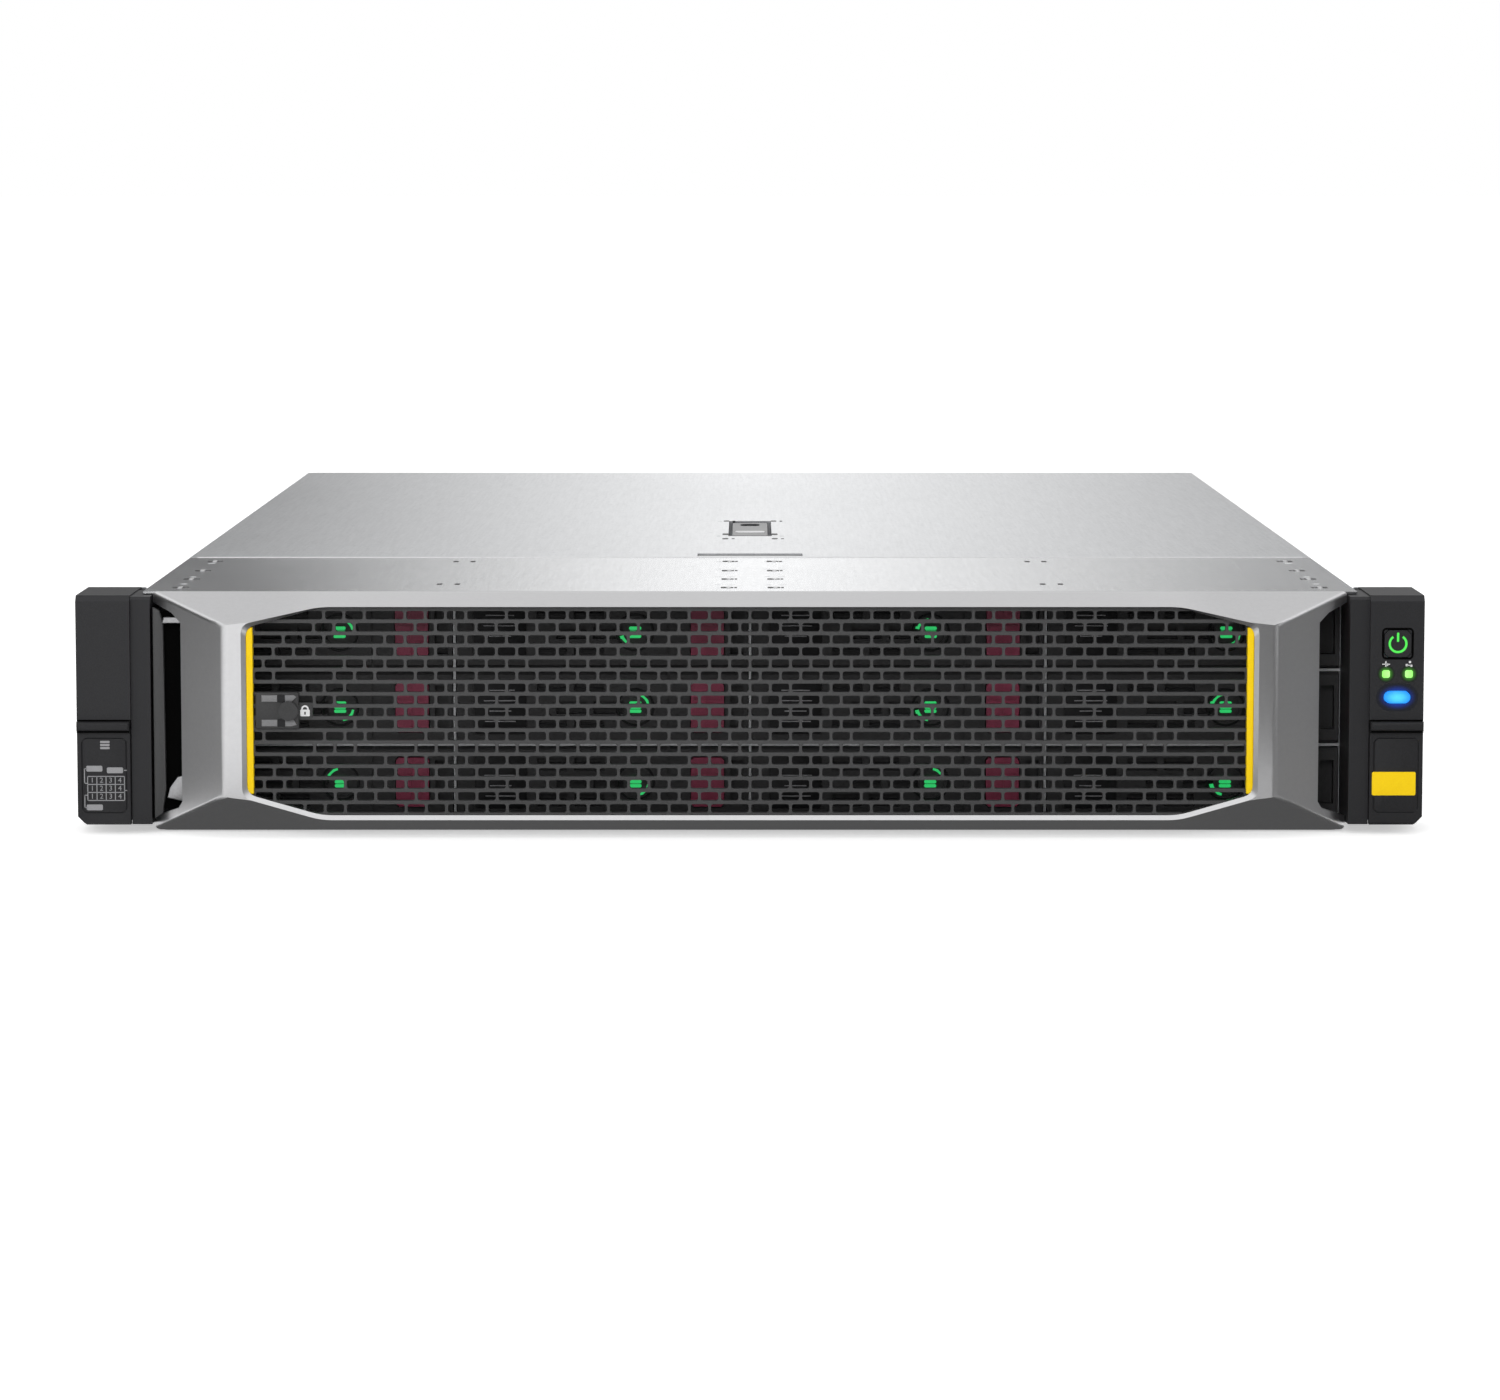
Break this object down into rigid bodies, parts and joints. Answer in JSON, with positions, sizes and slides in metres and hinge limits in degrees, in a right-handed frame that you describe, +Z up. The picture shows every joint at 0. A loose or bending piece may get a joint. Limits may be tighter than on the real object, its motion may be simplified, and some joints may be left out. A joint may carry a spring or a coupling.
{
  "type": "rackmount nas server",
  "caption": "Two-unit rack storage server with a silver bezel over a brick grille, large drive carriers behind it, steel chassis, sliding lid and rear hot-swap supplies",
  "frame": {"origin": "middle of the bounding box in plan, on its bottom", "axes": "+Z up, front of the server towards -Y, +X to the right seen from the front"},
  "size_m": [0.4826, 0.75, 0.0868],
  "materials": {
    "steel": "galvanised, satin",
    "silver_plastic": "silver paint",
    "grille_plastic": "moulded",
    "accent_yellow": "satin",
    "key_metal": "satin",
    "ear_plastic": "satin",
    "light_green": "lit",
    "light_blue": "lit",
    "dark_plastic": "moulded",
    "board_green": "solder mask",
    "aluminium": "extruded",
    "port_metal": "plated",
    "supply_steel": "galvanised",
    "release_red": "moulded",
    "carrier_plastic": "moulded"
  },
  "bodies": {
    "chassis": {"chassis_tray": "steel", "rear_panel": "steel", "rear_ports": "port_metal", "riser_cages": "steel", "front_top_cover": "steel", "drive_cage": "steel", "drive_backplane": "board_green", "rack_flanges": "steel", "ear_left": "ear_plastic", "ear_right": "ear_plastic", "ear_lights": "light_green", "fan_cage": "dark_plastic", "system_board": "board_green", "cpu_heatsinks": "aluminium", "memory_modules": "board_green", "air_baffle": "dark_plastic"},
    "lid": {"access_cover": "steel"},
    "latch": {"hood_latch": "steel"},
    "bezel": {"bezel_frame": "silver_plastic", "bezel_grille": "grille_plastic", "bezel_accents": "accent_yellow"},
    "key": {"bezel_key": "key_metal"},
    "lever_left": {"ear_lever_left": "ear_plastic"},
    "lever_right": {"ear_lever_right": "ear_plastic"},
    "power": {"power_button": "ear_plastic"},
    "ident": {"ident_button": "light_blue"},
    "fan_1": {"fan_rotor_1": "dark_plastic"},
    "fan_2": {"fan_rotor_2": "dark_plastic"},
    "fan_3": {"fan_rotor_3": "dark_plastic"},
    "fan_4": {"fan_rotor_4": "dark_plastic"},
    "fan_5": {"fan_rotor_5": "dark_plastic"},
    "fan_6": {"fan_rotor_6": "dark_plastic"},
    "supply_1": {"psu_1": "supply_steel"},
    "supply_1_tab": {"psu_release_1": "release_red"},
    "supply_2": {"psu_2": "supply_steel"},
    "supply_2_tab": {"psu_release_2": "release_red"},
    "bay_1": {"drive_1": "carrier_plastic"},
    "bay_1_button": {"drive_release_1": "release_red"},
    "bay_2": {"drive_2": "carrier_plastic"},
    "bay_2_button": {"drive_release_2": "release_red"},
    "bay_3": {"drive_3": "carrier_plastic"},
    "bay_3_button": {"drive_release_3": "release_red"},
    "bay_4": {"drive_4": "carrier_plastic"},
    "bay_4_button": {"drive_release_4": "release_red"},
    "bay_5": {"drive_5": "carrier_plastic"},
    "bay_5_button": {"drive_release_5": "release_red"},
    "bay_6": {"drive_6": "carrier_plastic"},
    "bay_6_button": {"drive_release_6": "release_red"},
    "bay_7": {"drive_7": "carrier_plastic"},
    "bay_7_button": {"drive_release_7": "release_red"},
    "bay_8": {"drive_8": "carrier_plastic"},
    "bay_8_button": {"drive_release_8": "release_red"},
    "bay_9": {"drive_9": "carrier_plastic"},
    "bay_9_button": {"drive_release_9": "release_red"},
    "bay_10": {"drive_10": "carrier_plastic"},
    "bay_10_button": {"drive_release_10": "release_red"},
    "bay_11": {"drive_11": "carrier_plastic"},
    "bay_11_button": {"drive_release_11": "release_red"},
    "bay_12": {"drive_12": "carrier_plastic"},
    "bay_12_button": {"drive_release_12": "release_red"}
  },
  "joints": [
    {"name": "lid_slide", "type": "slide", "parent": "chassis", "child": "lid", "axis": [0, 1, 0], "range_m": [0, 0.012]},
    {"name": "latch_lift", "type": "hinge", "parent": "lid", "child": "latch", "pos_m": [0, -0.0739, 0.0836], "axis": [1, 0, 0], "range_deg": [0, 80]},
    {"name": "bezel_off", "type": "slide", "parent": "chassis", "child": "bezel", "axis": [0, -1, 0], "range_m": [0, 0.06]},
    {"name": "key_turn", "type": "hinge", "parent": "bezel", "child": "key", "pos_m": [-0.1646, -0.3715, 0.04535], "axis": [0, 1, 0], "range_deg": [0, 90]},
    {"name": "lever_right_pull", "type": "hinge", "parent": "chassis", "child": "lever_right", "pos_m": [0.23165, -0.3575, 0.0095], "axis": [1, 0, 0], "range_deg": [0, 60]},
    {"name": "lever_left_pull", "type": "hinge", "parent": "chassis", "child": "lever_left", "pos_m": [-0.23165, -0.3575, 0.0095], "axis": [1, 0, 0], "range_deg": [0, 60]},
    {"name": "power_press", "type": "slide", "parent": "chassis", "child": "power", "axis": [0, 1, 0], "range_m": [0, 0.001], "stiffness_N_per_m": 400},
    {"name": "ident_press", "type": "slide", "parent": "chassis", "child": "ident", "axis": [0, 1, 0], "range_m": [0, 0.001], "stiffness_N_per_m": 400},
    {"name": "fan_1_spin", "type": "hinge", "parent": "chassis", "child": "fan_1", "pos_m": [-0.17625, -0.1395, 0.04255], "axis": [0, 1, 0], "continuous": true},
    {"name": "fan_2_spin", "type": "hinge", "parent": "chassis", "child": "fan_2", "pos_m": [-0.10575, -0.1395, 0.04255], "axis": [0, 1, 0], "continuous": true},
    {"name": "fan_3_spin", "type": "hinge", "parent": "chassis", "child": "fan_3", "pos_m": [-0.03525, -0.1395, 0.04255], "axis": [0, 1, 0], "continuous": true},
    {"name": "fan_4_spin", "type": "hinge", "parent": "chassis", "child": "fan_4", "pos_m": [0.03525, -0.1395, 0.04255], "axis": [0, 1, 0], "continuous": true},
    {"name": "fan_5_spin", "type": "hinge", "parent": "chassis", "child": "fan_5", "pos_m": [0.10575, -0.1395, 0.04255], "axis": [0, 1, 0], "continuous": true},
    {"name": "fan_6_spin", "type": "hinge", "parent": "chassis", "child": "fan_6", "pos_m": [0.17625, -0.1395, 0.04255], "axis": [0, 1, 0], "continuous": true},
    {"name": "supply_1_slide", "type": "slide", "parent": "chassis", "child": "supply_1", "axis": [0, 1, 0], "range_m": [0, 0.19]},
    {"name": "supply_1_tab_push", "type": "slide", "parent": "supply_1", "child": "supply_1_tab", "axis": [1, 0, 0], "range_m": [0, 0.0025], "stiffness_N_per_m": 400},
    {"name": "supply_2_slide", "type": "slide", "parent": "chassis", "child": "supply_2", "axis": [0, 1, 0], "range_m": [0, 0.19]},
    {"name": "supply_2_tab_push", "type": "slide", "parent": "supply_2", "child": "supply_2_tab", "axis": [1, 0, 0], "range_m": [0, 0.0025], "stiffness_N_per_m": 400},
    {"name": "bay_1_slide", "type": "slide", "parent": "chassis", "child": "bay_1", "axis": [0, -1, 0], "range_m": [0, 0.022]},
    {"name": "bay_1_press", "type": "slide", "parent": "bay_1", "child": "bay_1_button", "axis": [0, 1, 0], "range_m": [0, 0.002], "stiffness_N_per_m": 400},
    {"name": "bay_2_slide", "type": "slide", "parent": "chassis", "child": "bay_2", "axis": [0, -1, 0], "range_m": [0, 0.022]},
    {"name": "bay_2_press", "type": "slide", "parent": "bay_2", "child": "bay_2_button", "axis": [0, 1, 0], "range_m": [0, 0.002], "stiffness_N_per_m": 400},
    {"name": "bay_3_slide", "type": "slide", "parent": "chassis", "child": "bay_3", "axis": [0, -1, 0], "range_m": [0, 0.022]},
    {"name": "bay_3_press", "type": "slide", "parent": "bay_3", "child": "bay_3_button", "axis": [0, 1, 0], "range_m": [0, 0.002], "stiffness_N_per_m": 400},
    {"name": "bay_4_slide", "type": "slide", "parent": "chassis", "child": "bay_4", "axis": [0, -1, 0], "range_m": [0, 0.022]},
    {"name": "bay_4_press", "type": "slide", "parent": "bay_4", "child": "bay_4_button", "axis": [0, 1, 0], "range_m": [0, 0.002], "stiffness_N_per_m": 400},
    {"name": "bay_5_slide", "type": "slide", "parent": "chassis", "child": "bay_5", "axis": [0, -1, 0], "range_m": [0, 0.022]},
    {"name": "bay_5_press", "type": "slide", "parent": "bay_5", "child": "bay_5_button", "axis": [0, 1, 0], "range_m": [0, 0.002], "stiffness_N_per_m": 400},
    {"name": "bay_6_slide", "type": "slide", "parent": "chassis", "child": "bay_6", "axis": [0, -1, 0], "range_m": [0, 0.022]},
    {"name": "bay_6_press", "type": "slide", "parent": "bay_6", "child": "bay_6_button", "axis": [0, 1, 0], "range_m": [0, 0.002], "stiffness_N_per_m": 400},
    {"name": "bay_7_slide", "type": "slide", "parent": "chassis", "child": "bay_7", "axis": [0, -1, 0], "range_m": [0, 0.022]},
    {"name": "bay_7_press", "type": "slide", "parent": "bay_7", "child": "bay_7_button", "axis": [0, 1, 0], "range_m": [0, 0.002], "stiffness_N_per_m": 400},
    {"name": "bay_8_slide", "type": "slide", "parent": "chassis", "child": "bay_8", "axis": [0, -1, 0], "range_m": [0, 0.022]},
    {"name": "bay_8_press", "type": "slide", "parent": "bay_8", "child": "bay_8_button", "axis": [0, 1, 0], "range_m": [0, 0.002], "stiffness_N_per_m": 400},
    {"name": "bay_9_slide", "type": "slide", "parent": "chassis", "child": "bay_9", "axis": [0, -1, 0], "range_m": [0, 0.022]},
    {"name": "bay_9_press", "type": "slide", "parent": "bay_9", "child": "bay_9_button", "axis": [0, 1, 0], "range_m": [0, 0.002], "stiffness_N_per_m": 400},
    {"name": "bay_10_slide", "type": "slide", "parent": "chassis", "child": "bay_10", "axis": [0, -1, 0], "range_m": [0, 0.022]},
    {"name": "bay_10_press", "type": "slide", "parent": "bay_10", "child": "bay_10_button", "axis": [0, 1, 0], "range_m": [0, 0.002], "stiffness_N_per_m": 400},
    {"name": "bay_11_slide", "type": "slide", "parent": "chassis", "child": "bay_11", "axis": [0, -1, 0], "range_m": [0, 0.022]},
    {"name": "bay_11_press", "type": "slide", "parent": "bay_11", "child": "bay_11_button", "axis": [0, 1, 0], "range_m": [0, 0.002], "stiffness_N_per_m": 400},
    {"name": "bay_12_slide", "type": "slide", "parent": "chassis", "child": "bay_12", "axis": [0, -1, 0], "range_m": [0, 0.022]},
    {"name": "bay_12_press", "type": "slide", "parent": "bay_12", "child": "bay_12_button", "axis": [0, 1, 0], "range_m": [0, 0.002], "stiffness_N_per_m": 400}
  ],
  "couplings": [
    {"joint": "latch_lift", "follows": "lid_slide", "rad_per_m": 116.36}
  ]
}
